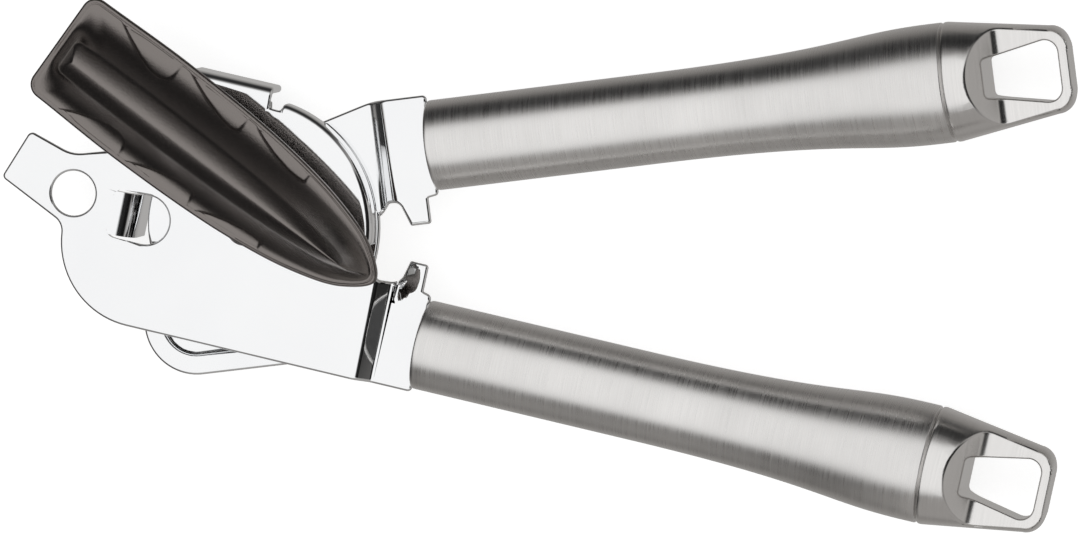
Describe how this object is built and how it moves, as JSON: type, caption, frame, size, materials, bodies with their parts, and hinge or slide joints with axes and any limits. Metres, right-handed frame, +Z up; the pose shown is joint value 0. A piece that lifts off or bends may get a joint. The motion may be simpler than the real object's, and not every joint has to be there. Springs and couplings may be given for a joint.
{
  "type": "manual can opener",
  "caption": "Crank can opener: two steel levers with tubular handles on a pivot, geared cutting and feed wheels, bottle-opener nose.",
  "frame": {"origin": "bottom centre of the bounding box, on the table that the opener lies on", "axes": "+X along the front handle from the head to its end cap, +Z up, towards the crank"},
  "size_m": [0.2194, 0.1072, 0.0322],
  "materials": {
    "plate_steel": "mirror-polished stainless steel",
    "tube_steel": "satin, brushed round the tube",
    "cap_steel": "fine satin",
    "nose_steel": "plain turned",
    "bushing_steel": "turned",
    "rivet_steel": "headed, lightly polished",
    "washer_steel": "stamped",
    "shaft_steel": "ground",
    "gear_steel": "sintered, oiled",
    "feed_steel": "hardened",
    "cutter_steel": "hardened and ground to an edge",
    "nut_steel": "nickel-plated",
    "knob_plastic": "black, satin-gloss moulded"
  },
  "bodies": {
    "front_lever": {"front_plate": "plate_steel", "front_handle_tube": "tube_steel", "front_handle_nose": "nose_steel", "front_end_cap": "cap_steel", "shaft_bushing": "bushing_steel", "pivot_rivet": "rivet_steel", "pivot_spacer": "washer_steel"},
    "back_lever": {"back_plate": "plate_steel", "back_handle_tube": "tube_steel", "back_handle_nose": "nose_steel", "back_end_cap": "cap_steel", "cutter_bushing": "bushing_steel"},
    "crank": {"crank_knob": "knob_plastic", "knob_insert": "shaft_steel", "knob_pin": "shaft_steel", "drive_shaft": "shaft_steel", "thrust_washer": "washer_steel", "spring_washer": "washer_steel", "shaft_spacer": "shaft_steel", "drive_gear": "gear_steel", "feed_wheel": "feed_steel", "shaft_nut": "nut_steel"},
    "cutter": {"cutter_arbor": "shaft_steel", "cutter_gear": "gear_steel", "cutting_wheel": "cutter_steel", "cutter_nut": "nut_steel"}
  },
  "joints": [
    {"name": "lever_pivot", "type": "hinge", "parent": "front_lever", "child": "back_lever", "pos_m": [-0.05906, -0.02131, 0.01185], "axis": [0, 0, 1], "range_deg": [-12, 20]},
    {"name": "crank_spin", "type": "hinge", "parent": "front_lever", "child": "crank", "pos_m": [-0.06556, -0.00901, 0.01185], "axis": [0, 0, 1], "continuous": true},
    {"name": "cutter_spin", "type": "hinge", "parent": "back_lever", "child": "cutter", "pos_m": [-0.06106, -0.03281, 0.01185], "axis": [0, 0, 1], "continuous": true}
  ],
  "couplings": [
    {"joint": "cutter_spin", "follows": "crank_spin", "ratio": -1}
  ]
}
